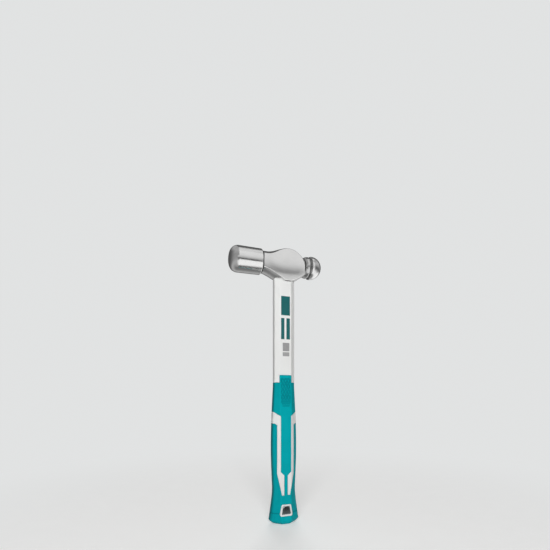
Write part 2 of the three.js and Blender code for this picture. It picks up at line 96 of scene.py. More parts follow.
# Helpers for shapes
def curve(rows):
    """Smooth interpolation of table rows over their first column."""
    def at(t):
        k = 0
        while k + 2 < len(rows) and rows[k + 1][0] <= t:
            k += 1
        t0, t1 = rows[k][0], rows[k + 1][0]
        before = rows[k - 1] if k > 0 else [2 * t0 - t1] + list(rows[k + 1][1:])
        after = rows[k + 2] if k + 2 < len(rows) else [2 * t1 - t0] + list(rows[k][1:])
        half = (t1 - t0) / 2
        back, ahead = half / (t0 - before[0]), half / (after[0] - t1)
        p = (t - t0) / (t1 - t0)
        w = (
            -back * p ** 3 + 2 * back * p ** 2 - back * p,
            (1 + back) * p ** 3 + (-1.5 - 2 * back) * p ** 2 + (-0.5 + back) * p + 1,
            (-1 - ahead) * p ** 3 + (1.5 + ahead) * p ** 2 + 0.5 * p,
            ahead * p ** 3 - ahead * p ** 2,
        )
        four = (before, rows[k], rows[k + 1], after)
        return [sum(w[j] * four[j][c] for j in range(4)) for c in range(1, len(rows[k]))]
    return at


def lerp(a, b, t):
    return a + (b - a) * t


def new_object(name, verts, faces):
    mesh = bpy.data.meshes.new(name)
    mesh.from_pydata([tuple(c * MM for c in v) for v in verts], [], faces)
    mesh.validate()
    obj = bpy.data.objects.new(name, mesh)
    scene.collection.objects.link(obj)
    return obj


def loft(name, rings):
    """A closed solid from rings with the same number of points."""
    n = len(rings[0])
    verts = [p for ring in rings for p in ring]
    faces = []
    for i in range(len(rings) - 1):
        for k in range(n):
            a, b = i * n + k, i * n + (k + 1) % n
            faces.append((a, b, b + n, a + n))
    for ring, start, first in ((rings[0], 0, True), (rings[-1], (len(rings) - 1) * n, False)):
        centre = tuple(sum(p[c] for p in ring) / n for c in range(3))
        middle = len(verts)
        verts.append(centre)
        for k in range(n):
            a, b = start + k, start + (k + 1) % n
            faces.append((middle, b, a) if first else (middle, a, b))
    return new_object(name, verts, faces)


def prism(name, outline, near, far):
    """A solid along Y whose outline is in X and Z, counter-clockwise seen from -Y."""
    area = sum(a[0] * b[1] - b[0] * a[1] for a, b in zip(outline, outline[1:] + outline[:1]))
    if area < 0:
        outline = outline[::-1]
    n = len(outline)
    verts = [(x, near, z) for x, z in outline] + [(x, far, z) for x, z in outline]
    faces = [tuple(range(n)), tuple(range(2 * n - 1, n - 1, -1))]
    faces += [(k + n, (k + 1) % n + n, (k + 1) % n, k) for k in range(n)]
    return new_object(name, verts, faces)


def box(name, low, high):
    return prism(name, [(low[0], low[2]), (high[0], low[2]), (high[0], high[2]), (low[0], high[2])],
                 low[1], high[1])


def apply_modifiers(obj):
    graph = bpy.context.evaluated_depsgraph_get()
    mesh = bpy.data.meshes.new_from_object(obj.evaluated_get(graph))
    old = obj.data
    obj.modifiers.clear()
    obj.data = mesh
    bpy.data.meshes.remove(old)


def spread(start, stop, steps):
    """Evenly spaced values from start to stop, both of them included."""
    return [lerp(start, stop, k / steps) for k in range(steps + 1)]


def bend(a, b, c, t):
    """A point of the curve that leaves a towards b and comes to c from b."""
    return tuple((1 - t) ** 2 * a[j] + 2 * t * (1 - t) * b[j] + t ** 2 * c[j] for j in range(2))


def twin(obj):
    """A copy of an object, with a mesh of its own."""
    copy = obj.copy()
    copy.data = obj.data.copy()
    scene.collection.objects.link(copy)
    return copy


def combine(obj, other, operation):
    """obj becomes obj with other cut out, joined or kept in common, and other is used up."""
    modifier = obj.modifiers.new("combine", "BOOLEAN")
    modifier.operation = operation
    modifier.solver = "MANIFOLD"
    modifier.object = other
    apply_modifiers(obj)
    bpy.data.objects.remove(other)
    return obj


def cut(obj, other):
    return combine(obj, other, "DIFFERENCE")


def join(obj, other):
    return combine(obj, other, "UNION")


def common(obj, other):
    return combine(obj, other, "INTERSECT")


def rounded(points, radius, segments):
    """A polygon's corners rounded with arcs."""
    out = []
    n = len(points)
    for i, corner in enumerate(points):
        c = Vector(corner)
        before = (Vector(points[i - 1]) - c).normalized()
        after = (Vector(points[(i + 1) % n]) - c).normalized()
        half = math.acos(max(-1.0, min(1.0, before.dot(after)))) / 2
        bisector = (before + after).normalized()
        centre = c + bisector * (radius / math.sin(half))
        arm = c + before * (radius / math.tan(half)) - centre
        sign = 1 if before.x * after.y - before.y * after.x > 0 else -1
        for k in range(segments + 1):
            turn = -sign * (math.pi - 2 * half) * k / segments
            x = arm.x * math.cos(turn) - arm.y * math.sin(turn)
            y = arm.x * math.sin(turn) + arm.y * math.cos(turn)
            out.append((centre.x + x, centre.y + y))
    return out


def octagon(width, depth, front, side, radius, z, segments=6):
    x, y, fx, fy = width / 2, depth / 2, front / 2, side / 2
    corners = [(x, -fy), (x, fy), (fx, y), (-fx, y), (-x, fy), (-x, -fy), (-fx, -y), (fx, -y)]
    return [(a, b, z) for a, b in rounded(corners, radius, segments)]


def ellipse(half_x, half_y, z, n=72):
    return [(half_x * math.cos(2 * math.pi * k / n), half_y * math.sin(2 * math.pi * k / n), z)
            for k in range(n)]


NORMAL_WEIGHT = 50


def smooth(obj, angle=32.0):
    """Smooth shading, with edges kept sharp past an angle in degrees."""
    mesh = obj.data
    for polygon in mesh.polygons:
        polygon.use_smooth = True
    mesh.set_sharp_from_angle(angle=math.radians(angle))
    modifier = obj.modifiers.new("normals", "WEIGHTED_NORMAL")
    modifier.keep_sharp = True
    modifier.weight = NORMAL_WEIGHT


def dress(obj, look, slot, *nodes):
    """Gives a piece its material and its body and hides the nodes it replaces; slot is not used."""
    obj.data.materials.clear()
    obj.data.materials.append(look)
    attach(obj, "root")
    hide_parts(*nodes)


# Helpers for materials
def material(name):
    m = bpy.data.materials.new(name)
    m.use_nodes = True
    tree = m.node_tree
    tree.nodes.clear()
    out = tree.nodes.new("ShaderNodeOutputMaterial")
    shader = tree.nodes.new("ShaderNodeBsdfPrincipled")
    tree.links.new(shader.outputs[0], out.inputs["Surface"])
    return m, tree, shader


def surface_of(tree):
    return next(n for n in tree.nodes if n.type == "OUTPUT_MATERIAL").inputs["Surface"]


def node(tree, kind, **values):
    n = tree.nodes.new(kind)
    for key, value in values.items():
        if key in n.inputs:
            n.inputs[key].default_value = value
        else:
            setattr(n, key, value)
    return n


def place(tree, space="Object"):
    """Each point's place in the object's own space, or in another one."""
    return node(tree, "ShaderNodeTexCoord").outputs[space]


def parts_of(tree, vector):
    """The X, Y and Z of a vector."""
    n = node(tree, "ShaderNodeSeparateXYZ")
    tree.links.new(vector, n.inputs[0])
    return n.outputs


def noise(tree, scale, detail=3.0, stretch=(1.0, 1.0, 1.0)):
    """Noise over the object's own space, stretched along its axes."""
    mapping = node(tree, "ShaderNodeMapping", Scale=stretch)
    tree.links.new(place(tree), mapping.inputs["Vector"])
    n = node(tree, "ShaderNodeTexNoise", Scale=scale, Detail=detail)
    tree.links.new(mapping.outputs[0], n.inputs["Vector"])
    return n.outputs["Fac"]


def ramp(tree, source, stops):
    """A colour by a source from 0 to 1, from rows of place on the ramp and colour."""
    r = node(tree, "ShaderNodeValToRGB")
    elements = r.color_ramp.elements
    while len(elements) < len(stops):
        elements.new(0.5)
    for element, (position, colour) in zip(elements, stops):
        element.position = position
        element.color = (*colour, 1.0)
    tree.links.new(source, r.inputs["Fac"])
    return r.outputs[0]


def grey(v):
    return (v, v, v)


def greys(rows):
    return [(at, grey(v)) for at, v in rows]


def maths(tree, operation, *values):
    """One operation on sockets and numbers."""
    n = node(tree, "ShaderNodeMath", operation=operation)
    for socket, value in zip(n.inputs, values):
        if isinstance(value, (int, float)):
            socket.default_value = value
        else:
            tree.links.new(value, socket)
    return n.outputs[0]


def product(tree, *values):
    """Sockets and numbers multiplied, all but the last of them sockets."""
    *rest, last = values
    for value in reversed(rest):
        last = maths(tree, "MULTIPLY", value, last)
    return last


def fade(tree, value, low, high, start=0.0, end=1.0):
    """Goes smoothly from start to end while a value goes from low to high."""
    n = node(tree, "ShaderNodeMapRange", interpolation_type="SMOOTHSTEP")
    n.inputs["From Min"].default_value = low
    n.inputs["From Max"].default_value = high
    n.inputs["To Min"].default_value = start
    n.inputs["To Max"].default_value = end
    tree.links.new(value, n.inputs["Value"])
    return n.outputs[0]


def blend(tree, a, b, factor):
    """Colour a where the factor is 0 and colour b where it is 1."""
    n = node(tree, "ShaderNodeMix", data_type="RGBA")
    tree.links.new(factor, n.inputs["Factor"])
    tree.links.new(a, n.inputs["A"])
    tree.links.new(b, n.inputs["B"])
    return n.outputs["Result"]


def darken(tree, colour, shade):
    """A colour multiplied by a shade."""
    n = node(tree, "ShaderNodeMix", data_type="RGBA", blend_type="MULTIPLY")
    n.inputs["Factor"].default_value = 1.0
    tree.links.new(colour, n.inputs["A"])
    tree.links.new(shade, n.inputs["B"])
    return n.outputs["Result"]


def inside(tree, value, low, high, soft=0.05):
    """1 where a length lies between two sizes in millimetres, fading to 0 over the soft edge."""
    off = maths(tree, "ABSOLUTE", maths(tree, "SUBTRACT", value, (low + high) / 2 * MM))
    half = (high - low) / 2
    return fade(tree, off, (half - soft) * MM, (half + soft) * MM, 1.0, 0.0)


def wave(tree, value, start, length):
    """A cosine over a length in millimetres, 1 at the start and again one length further."""
    turn = maths(tree, "MULTIPLY_ADD", value, 2 * math.pi / (length * MM),
                 -2 * math.pi * start / length)
    return maths(tree, "COSINE", turn)


def bump(tree, shader, source, strength, distance):
    b = node(tree, "ShaderNodeBump", Strength=strength, Distance=distance)
    tree.links.new(source, b.inputs["Height"])
    tree.links.new(b.outputs[0], shader.inputs["Normal"])


def paint(tree, shader, source, stops):
    """Gives a shader its base colour over a source."""
    tree.links.new(ramp(tree, source, stops), shader.inputs["Base Color"])


def roughen(tree, shader, source, *rows):
    """Gives a shader its roughness, from rows of place on the ramp and roughness."""
    tree.links.new(ramp(tree, source, greys(rows)), shader.inputs["Roughness"])


# Linear colours over a noise, as rows of place on the ramp and colour
STEEL_COLOURS = [(0.3, (0.80, 0.80, 0.795)), (0.7, (0.87, 0.87, 0.865))]
WHITE_COLOURS = [(0.3, (0.85, 0.855, 0.845)), (0.7, (0.88, 0.885, 0.875))]
TEAL_COLOURS = [(0.3, (0.0005, 0.375, 0.425)), (0.7, (0.0005, 0.42, 0.47))]
# Painted shade of the teal in its recessed panel
RECESS_SHADE_COLOURS = [(0.3, (0.0005, 0.265, 0.305)), (0.7, (0.0005, 0.30, 0.345))]
# Painted shade of the teal in its bars and grooves
GROOVE_SHADE_COLOURS = [(0.3, (0.0005, 0.20, 0.235)), (0.7, (0.0005, 0.23, 0.265))]
DARK_COLOURS = [(0.3, (0.15, 0.175, 0.18)), (0.7, (0.20, 0.23, 0.235))]
FIBRE_COLOURS = [(0.25, (0.42, 0.36, 0.19)), (0.55, (0.62, 0.56, 0.34)), (0.8, (0.78, 0.74, 0.55))]
RESIN_COLOURS = [(0.3, (0.17, 0.12, 0.045)), (0.7, (0.30, 0.22, 0.09))]
FILM_COLOURS = [(0.3, (0.84, 0.845, 0.835)), (0.7, (0.87, 0.875, 0.865))]
FLOOR_COLOURS = [(0.3, (0.80, 0.80, 0.79)), (0.7, (0.82, 0.82, 0.81))]

# How bright the steel stays: painted shade with some dirt in its grooves along X, and painted
# shadow under the head by the height over HEAD_Z
STEEL_GROOVE_SHADE_AND_DIRT = [(-28.4, 1.0), (-28.1, 0.3), (-26.95, 0.3), (-26.65, 1.0), (22.5, 1.0), (22.8, 0.45),
        (24.0, 0.45), (24.4, 0.8), (29.4, 0.75), (30.2, 0.6), (31.7, 0.6), (32.2, 1.0)]
UNDERSIDE_SHADE = [(-21.0, 0.3), (-20.25, 0.3), (-20.0, 1.0)]

# Stretches of the teal with painted shade, as half width, foot, top and soft edge. The bars
# and the groove share one soft edge.
OVER_BARS = (6.0, 138.8, 142.6, 0.6)
DOTTED = (6.0, 142.0, 167.4, 0.8)
BUTT_GROOVE_SHADE = (20.0, *BUTT_GROOVE)
GROOVE_SHADE_SOFT = 0.2
# Painted light on the dots' tops: the stretch of the dots' wave over which the teal gets light
# again, and its share there
DOT_TIP_LIGHT = (0.2, 0.75, 0.0, 0.9)
# Painted shade on the teal: how bright it stays, by how far a face turns to either side
SIDE_SHADE = [(0.3, 1.0), (0.6, 0.86), (0.85, 0.74), (0.98, 0.55)]

# Plain blocks of the label, as left, right, foot, top and colour
LABEL_INK = (0.0015, 0.118, 0.122)
LABEL_BLOCKS = [
    (-5.6, 5.2, 239.6, 261.6, LABEL_INK),
    (-5.6, -1.6, 212.0, 236.3, LABEL_INK),
    (0.9, 5.2, 212.0, 236.3, LABEL_INK),
    (-3.6, 4.5, 198.3, 208.0, grey(0.33)),
    (-3.6, 4.5, 192.6, 197.2, grey(0.36)),
]
# Over the grain a block is a little darker or lighter: place on the ramp and share of its colour
INK_TINTS = ((0.3, 0.94), (0.7, 1.06))


# Materials
def steel_material():
    m, tree, shader = material("polished_steel")
    shader.inputs["Metallic"].default_value = 1.0
    colour = ramp(tree, noise(tree, scale=60.0, detail=4.0), STEEL_COLOURS)
    at = parts_of(tree, place(tree))
    # Painted shade, with some dirt, in the grooves, and painted shadow under the head
    for axis, start, rows in (("X", 0.0, STEEL_GROOVE_SHADE_AND_DIRT), ("Z", HEAD_Z, UNDERSIDE_SHADE)):
        low, high = rows[0][0], rows[-1][0]
        share = node(tree, "ShaderNodeMapRange")
        share.inputs["From Min"].default_value = (start + low) * MM
        share.inputs["From Max"].default_value = (start + high) * MM
        tree.links.new(at[axis], share.inputs["Value"])
        shares = [((where - low) / (high - low), v) for where, v in rows]
        colour = darken(tree, colour, ramp(tree, share.outputs[0], greys(shares)))
    tree.links.new(colour, shader.inputs["Base Color"])
    grain = noise(tree, scale=900.0, detail=3.0, stretch=(0.15, 1.0, 1.0))
    roughen(tree, shader, grain, (0.25, 0.13), (0.75, 0.21))
    bump(tree, shader, grain, strength=0.05, distance=0.0002)
    return m


def white_material():
    m, tree, shader = material("white_plastic")
    paint(tree, shader, noise(tree, scale=35.0), WHITE_COLOURS)
    grain = noise(tree, scale=700.0, detail=4.0)
    roughen(tree, shader, grain, (0.3, 0.30), (0.7, 0.42))
    bump(tree, shader, grain, strength=0.08, distance=0.0001)
    return m


def teal_material():
    """Teal with painted shade around the dots, in the grooves and on faces that turn sideways."""
    m, tree, shader = material("teal_rubber")
    cloud = noise(tree, scale=45.0)
    colour = ramp(tree, cloud, TEAL_COLOURS)
    # Painted shade for the recessed panel, above the bars and on the dots' sides
    deep = ramp(tree, cloud, RECESS_SHADE_COLOURS)
    groove_shade = ramp(tree, cloud, GROOVE_SHADE_COLOURS)
    at = parts_of(tree, place(tree))
    tips = product(tree, wave(tree, at["X"], 0.0, DOT_PITCH[0]),
                   wave(tree, at["Z"], FIRST_DOTS, 2 * DOT_PITCH[1]))
    # Painted light on the dots' tops, over the panel's painted shade
    dotted = blend(tree, deep, colour, fade(tree, tips, *DOT_TIP_LIGHT))
    stretches = [(*OVER_BARS, deep), (*DOTTED, dotted)]
    stretches += [(*line, GROOVE_SHADE_SOFT, groove_shade) for line in (*BARS, BUTT_GROOVE_SHADE)]
    # Painted shade over the panel, the bars and the butt's groove
    for half, low, high, soft, tone in stretches:
        mask = product(tree, inside(tree, at["X"], -half, half, soft),
                       inside(tree, at["Z"], low, high, soft))
        colour = blend(tree, colour, tone, mask)
    # Painted shade on faces that turn sideways
    facing = parts_of(tree, node(tree, "ShaderNodeNewGeometry").outputs["Normal"])
    shade = ramp(tree, maths(tree, "ABSOLUTE", facing["X"]), greys(SIDE_SHADE))
    tree.links.new(darken(tree, colour, shade), shader.inputs["Base Color"])
    grain = noise(tree, scale=1600.0, detail=4.0)
    roughen(tree, shader, grain, (0.3, 0.38), (0.7, 0.52))
    shader.inputs["Specular IOR Level"].default_value = 0.08
    bump(tree, shader, grain, strength=0.25, distance=0.0001)
    return m


def dark_material():
    m, tree, shader = material("dark_plastic")
    grain = noise(tree, scale=500.0, detail=4.0)
    paint(tree, shader, grain, DARK_COLOURS)
    roughen(tree, shader, grain, (0.3, 0.45), (0.7, 0.6))
    bump(tree, shader, grain, strength=0.2, distance=0.0001)
    return m


def fibre_material():
    m, tree, shader = material("glass_fibre")
    strands = noise(tree, scale=900.0, detail=5.0, stretch=(1.0, 1.0, 0.04))
    paint(tree, shader, strands, FIBRE_COLOURS)
    roughen(tree, shader, strands, (0.3, 0.45), (0.7, 0.65))
    bump(tree, shader, strands, strength=0.4, distance=0.0002)
    return m


def resin_material():
    m, tree, shader = material("epoxy_resin")
    cloud = noise(tree, scale=120.0, detail=5.0)
    paint(tree, shader, cloud, RESIN_COLOURS)
    roughen(tree, shader, cloud, (0.3, 0.2), (0.7, 0.4))
    bump(tree, shader, cloud, strength=0.3, distance=0.0003)
    shader.inputs["Coat Weight"].default_value = 0.4
    return m


def label_material():
    """White film with plain printed blocks."""
    m, tree, shader = material("label_film")
    at = parts_of(tree, place(tree))
    grain = noise(tree, scale=300.0)
    colour = ramp(tree, grain, FILM_COLOURS)
    for left, right, foot, top, ink in LABEL_BLOCKS:
        mask = product(tree, inside(tree, at["X"], left, right), inside(tree, at["Z"], foot, top))
        tints = [(where, tuple(c * share for c in ink)) for where, share in INK_TINTS]
        colour = blend(tree, colour, ramp(tree, grain, tints), mask)
    tree.links.new(colour, shader.inputs["Base Color"])
    roughen(tree, shader, grain, (0.3, 0.28), (0.7, 0.36))
    return m


# The head. Reaches run along X and heights over HEAD_Z.
# Half the thickness between the cheeks, the neck's radius, and how fast the cheeks get thinner
# under and over the height where they start to roll in
CHEEK = 11.1
NECK_RADIUS = 12.2
FLAT_ANGLE = math.acos(CHEEK / NECK_RADIUS)
ROLL_RATE = 0.0078
CROWN_RATE = 0.0013
# Lengths that the rounded creases take from the sides and arcs of a section, and their limits
SOFT_EDGE = 0.8
CREASE = 0.55
LEAST_RISE = 0.001
TRIM_SHARE = 0.4
CREASE_SHARE = 0.2
ARC_STEPS = 24
CREASE_STEPS = 5
# The face: its reach, flat radius and depth of crown, the radius of the poll behind it, the angle
# at which the crown meets the poll, and how full the crown is
FACE = dict(reach=64.3, radius=3.0, crown=9.3, poll=14.5, lead=math.radians(7.0), fullness=1.14)
FACE_STEPS = 24
# Rows of reach and radius along the poll with its shoulder, and along the peen's neck and collar
POLL = [(-45.0, 14.42), (-29.05, 14.3), (-28.65, 14.2), (-28.35, 13.95), (-28.15, 13.2),
        (-27.5, 10.6), (-27.0, 10.6)]
COLLAR = [(22.75, 9.1), (23.4, 9.0), (24.5, 11.6), (29.3, 12.5), (30.7, 10.5), (31.3, 10.5)]
COLLAR_STEPS = 4
COLLAR_SHARE = 0.42
BALL_LIP = (31.8, 12.3)
BALL = dict(centre=33.5, radius=13.2, begin=32.3, flat=0.75)
BALL_STEPS = 28
# The cheeks between three sections: reach, where the sides start to roll in, upper and lower edge
# of the sides, and upper and lower ridge
NECK = (-26.55, 2.6, 6.3, -8.1, NECK_RADIUS, -NECK_RADIUS)
WIDEST = (3.4, -3.0, 15.5, -20.5, 18.2, -21.4)
CHEEK_END = (22.6, -0.6, -1.9, -11.2, 9.6, -12.0)
# How far each value has gone from one section to the next, after the share of the reach
FRONT_SHARES = [
    [0.0, 0.0, 0.0, 0.0, 0.0, 0.0], [0.24, 0.3, 0.05, 0.17, 0.01, 0.25],
    [0.41, 0.58, 0.26, 0.36, 0.2, 0.52], [0.64, 0.93, 0.69, 0.66, 0.6, 0.82],
    [0.86, 1.0, 0.95, 0.94, 0.93, 0.97], [1.0, 1.0, 1.0, 1.0, 1.0, 1.0],
]
FRONT_STEPS = 60
REAR_SHARES = [
    [0.0, 0.0, 0.0, 0.0, 0.0, 0.0], [0.29, 0.16, 0.05, 0.18, 0.09, 0.16],
    [0.67, 0.6, 0.31, 0.6, 0.44, 0.56], [0.92, 0.92, 0.7, 0.92, 0.85, 0.9],
    [1.0, 1.0, 1.0, 1.0, 1.0, 1.0],
]
REAR_STEPS = 44
# The box that trims the top and the underside, and the eye's half sizes and heights over the butt
TRIM = ((-70, -30, HEAD_Z - 20.4), (70, 30, HEAD_Z + 17.1))
EYE = ((11.4, 7.3, 277.6), (10.5, 6.4, 298.4), (11.4, 7.3, 319.2))
# The angle in degrees past which the head's edges stay sharp
HEAD_SHARP = 40.0


def arc_over(half_chord, rise, trim):
    """Points of an arc over a chord, from one end to the other, kept off both ends."""
    rise = max(rise, LEAST_RISE)
    radius = (half_chord ** 2 + rise ** 2) / (2 * rise)
    half = math.atan2(half_chord, radius - rise)
    half -= min(trim / radius, half * TRIM_SHARE)
    points = []
    for k in range(ARC_STEPS + 1):
        turn = half * (1 - 2 * k / ARC_STEPS)
        points.append((radius * math.sin(turn), radius * math.cos(turn) - radius + rise))
    return points


def cheek_side(roll_top):
    """Half the thickness between the cheeks, by height, for a cheek that rolls in under roll_top."""
    def half_at(z):
        return CHEEK - (ROLL_RATE if z < roll_top else CROWN_RATE) * (roll_top - z) ** 2
    return half_at


def head_ring(section):
    """One section across the head: two sides, a top and a bottom, with small creases between."""
    reach, half_at, soft, top_edge, low_edge, top_ridge, low_ridge = section
    most = CREASE_SHARE * (top_edge - low_edge)
    start, stop = top_edge - min(CREASE, most), low_edge + min(soft, most)
    side = [(half_at(z), z) for z in spread(start, stop, ARC_STEPS)]
    top_half, low_half = half_at(top_edge), half_at(low_edge)
    top = [(a, top_edge + h) for a, h in arc_over(top_half, top_ridge - top_edge, CREASE)]
    low = [(-a, low_edge - h) for a, h in arc_over(low_half, low_edge - low_ridge, CREASE)]
    corners = [(-top_half, top_edge), (-low_half, low_edge), (low_half, low_edge),
               (top_half, top_edge)]
    arcs = [top, [(-y, z) for y, z in side], low, side[::-1]]
    ring = []
    for i, arc in enumerate(arcs):
        ring += arc
        following = arcs[(i + 1) % len(arcs)]
        for k in range(1, CREASE_STEPS):
            ring.append(bend(arc[-1], corners[i], following[0], k / CREASE_STEPS))
    return [(reach, y, HEAD_Z + z) for y, z in ring]


def round_section(reach, radius):
    edge = radius * math.sin(FLAT_ANGLE)

    def half_at(z):
        return math.sqrt(radius ** 2 - z ** 2)
    return (reach, half_at, CREASE, edge, -edge, radius, -radius)


def fillet(stations):
    """Rounds the corners of a list of (reach, radius) stations."""
    out = [stations[0]]
    for a, b, c in zip(stations, stations[1:], stations[2:]):
        before = (lerp(b[0], a[0], COLLAR_SHARE), lerp(b[1], a[1], COLLAR_SHARE))
        after = (lerp(b[0], c[0], COLLAR_SHARE), lerp(b[1], c[1], COLLAR_SHARE))
        out += [bend(before, b, after, k / COLLAR_STEPS) for k in range(COLLAR_STEPS + 1)]
    out.append(stations[-1])
    return out


def between(first, last, shares, steps):
    """Sections from one of the cheeks' sections to the next."""
    at = curve(shares)
    out = []
    for k in range(steps + 1):
        t = k / steps
        edges = at(t)
        roll_top, *rest = (lerp(a, b, share) for a, b, share in zip(first[1:], last[1:], edges))
        out.append((lerp(first[0], last[0], t), cheek_side(roll_top), SOFT_EDGE, *rest))
    return out


def crown():
    """Stations from the flat of the face to the poll."""
    lead, fullness = FACE["lead"], FACE["fullness"]
    out = []
    for turn in spread(math.pi / 2, lead, FACE_STEPS):
        along = (math.sin(turn) - math.sin(lead)) / (1 - math.sin(lead))
        along = max(along, 0.0) ** (1 / fullness)
        outward = (math.cos(turn) / math.cos(lead)) ** (1 / fullness)
        out.append((FACE["crown"] * (1 - along) - FACE["reach"],
                    lerp(FACE["radius"], FACE["poll"], outward)))
    return out


def ball():
    """Stations of the ball, from its groove to the small flat at its end."""
    centre, radius = BALL["centre"], BALL["radius"]
    begin = math.asin((BALL["begin"] - centre) / radius)
    return [(centre + radius * math.sin(t), radius * math.cos(t))
            for t in spread(begin, math.acos(BALL["flat"] / radius), BALL_STEPS)]


def build_head():
    """Builds the head and gives back a copy of it without the eye."""
    sections = [round_section(*station) for station in crown() + POLL]
    sections += between(NECK, WIDEST, FRONT_SHARES, FRONT_STEPS)
    sections += between(WIDEST, CHEEK_END, REAR_SHARES, REAR_STEPS)[1:]
    sections += [round_section(*station) for station in fillet(COLLAR) + [BALL_LIP] + ball()]
    body = loft("hammer_head", [head_ring(section) for section in sections])
    common(body, box("keep", *TRIM))
    blank = twin(body)
    cut(body, loft("eye", [ellipse(*ring) for ring in EYE]))
    smooth(body, HEAD_SHARP)
    dress(body, STEEL, "steel", "head")
    return blank


# The handle. Sections of the grip: height, then the values of an octagon.
GRIP_SECTIONS = [
    [3.0, 36.2, 22.0, 11.5, 8.0, 6.0],
    [39.0, 26.8, 17.2, 13.2, 7.0, 3.5],
    [83.0, 29.8, 18.0, 14.4, 7.4, 3.5],
    [GRIP_TOP, *SHAFT],
]
# Between two sections: shares of the height, of the change across and of the change in depth
GRIP_SHARES = [
    [(0.14, 0.17, 0.13), (0.43, 0.51, 0.48), (0.69, 0.8, 0.82)],
    [(0.25, 0.28, 0.17)],
    [(0.4, 0.18, 0.08), (0.58, 0.41, 0.23), (0.78, 0.72, 0.62)],
]
GRIP_STEPS = 90
GRIP_CORNER_STEPS = 8
# The butt's rounding: its height, how far it draws in across and in depth, its arc
BUTT_RISE = 4.5
BUTT_INSET = (9.5, 3.0)
BUTT_TURN = math.radians(60.0)
BUTT_STEPS = 12
# The grip's tongue on the shaft, and where the jacket makes room for it
TONGUE_TOP = 170.8
TONGUE_HALF = 7.2
TONGUE_CORNER = 1.2
TONGUE_CORNER_STEPS = 8
TONGUE_DEPTH = 1.5
TONGUE_REACH = 20
TONGUE_SPACE_FOOT = 160.0
# The openings of the grip: the side pad above, the stripe under it and the stripe's tip
PAD = dict(edge=40, top=128.6, foot=115.3, corner=13.8, notch=12.2)
STRIPE = dict(inner=6.4, outer=10.0, top=123.6, mouth=113.5, foot=60.0)
TIP = dict(inner=2.2, outer=4.8, top=55.7, bend=57.7, foot=33.2)
# The frame of the hanging hole, wider at its foot, the width of its band, and how far the liner
# is sunk under the grip's surface and where its walls lie inside the band
HOLE = dict(foot=9.7, top=22.6, wide=15.9, narrow=11.3, corner=1.9, least_corner=0.95)
HOLE_CORNER_STEPS = 6
HOLE_BAND = 1.8
LINER = dict(sunk=0.5, outer=0.02, inner=0.72)
# The jacket's top, the spine's foot, and the space for the rod as half sizes, foot and top
JACKET_TOP = 283.0
SPINE_FOOT = 15.0
CORE_SPACE = (8.15, 4.35)
CORE_ENDS = (26.85, 320.0)
# Depths in the grip's surface, and the dots as rows of radius and height over the panel's floor
PANEL_HALF = 5.6
PANEL_DEPTH = 0.7
BAR_DEPTH = 0.5
GROOVE_DEPTH = 0.4
DOT_PROFILE = [(1.15, -0.7), (1.15, 0.0), (1.08, 0.25), (0.85, 0.48), (0.5, 0.58)]
DOT_SIDES = 16
DOT_STEPS = ((-1, 0, 1), (-0.5, 0.5))


def grip_rows():
    """The grip's sections with those between them."""
    rows = []
    for here, above, shares in zip(GRIP_SECTIONS, GRIP_SECTIONS[1:], GRIP_SHARES):
        rows.append(here)
        for up, across, deep in shares:
            follow = (up, across, deep, across, deep, across)
            rows.append([lerp(a, b, f) for a, b, f in zip(here, above, follow)])
    return rows + [GRIP_SECTIONS[-1]]


GRIP_AT = curve(grip_rows())


def grip_ring(at, across, deep, height):
    """The grip's octagon at one height, drawn in across and in depth, and placed at another."""
    w, d, f, s, r = GRIP_AT(at)
    return octagon(w - 2 * across, d - 2 * deep, f - deep, s - deep, r - deep, height,
                   GRIP_CORNER_STEPS)


def grip_form(name, drawn_in=0.0):
    """The whole outer form of the grip, or the same form drawn in all around."""
    rings = []
    for k in range(BUTT_STEPS):
        turn = BUTT_TURN * k / BUTT_STEPS
        inward = 1 - math.sin(turn) / math.sin(BUTT_TURN)
        across = BUTT_INSET[0] * inward + drawn_in
        deep = BUTT_INSET[1] * inward + drawn_in
        height = BUTT_RISE * (1 - math.cos(turn)) / (1 - math.cos(BUTT_TURN))
        rings.append(grip_ring(BUTT_RISE, across, deep, height))
    rings += [grip_ring(z, drawn_in, drawn_in, z) for z in spread(BUTT_RISE, GRIP_TOP, GRIP_STEPS)]
    return loft(name, rings)


def tube(name, section, low, high, grow=0.0):
    """A straight length of an octagon, grown all around."""
    w, d, f, s, r = section
    ring = [octagon(w + 2 * grow, d + 2 * grow, f + grow, s + grow, r, z) for z in (low, high)]
    return loft(name, ring)


def tongue(name, gap, low):
    """The tongue's form in front of and behind the shaft's middle, with a gap around it."""
    half, top = TONGUE_HALF + gap, TONGUE_TOP + gap
    corners = [(-half, low), (half, low), (half, top), (-half, top)]
    arcs = rounded(corners, TONGUE_CORNER, TONGUE_CORNER_STEPS)
    upper = arcs[2 * (TONGUE_CORNER_STEPS + 1):]
    body = prism(name, corners[:2] + upper, -TONGUE_REACH, TONGUE_REACH)
    inner = SHAFT[1] / 2 - TONGUE_DEPTH - gap
    return cut(body, box("inner", (-TONGUE_REACH, -inner, low - OVERLAP),
                         (TONGUE_REACH, inner, TONGUE_TOP + OVERLAP)))


def windows(name, gap):
    """Both openings of the grip for the pads and stripes, with a gap around them."""
    half = [
        (PAD["edge"], PAD["top"] + gap), (PAD["corner"], PAD["top"] + gap),
        (STRIPE["inner"] - gap, STRIPE["top"] + gap), (STRIPE["inner"] - gap, STRIPE["foot"] - gap),
        (TIP["inner"] - gap, TIP["top"] - gap), (TIP["inner"] - gap, TIP["foot"] - gap),
        (TIP["outer"] + gap, TIP["foot"] - gap), (STRIPE["outer"] + gap, TIP["bend"]),
        (STRIPE["outer"] + gap, STRIPE["mouth"] - gap), (PAD["notch"], PAD["foot"] - gap),
        (PAD["edge"], PAD["foot"] - gap),
    ]
    right = prism(name, half, -OVERRUN, OVERRUN)
    return join(right, prism("left", [(-x, z) for x, z in half], -OVERRUN, OVERRUN))


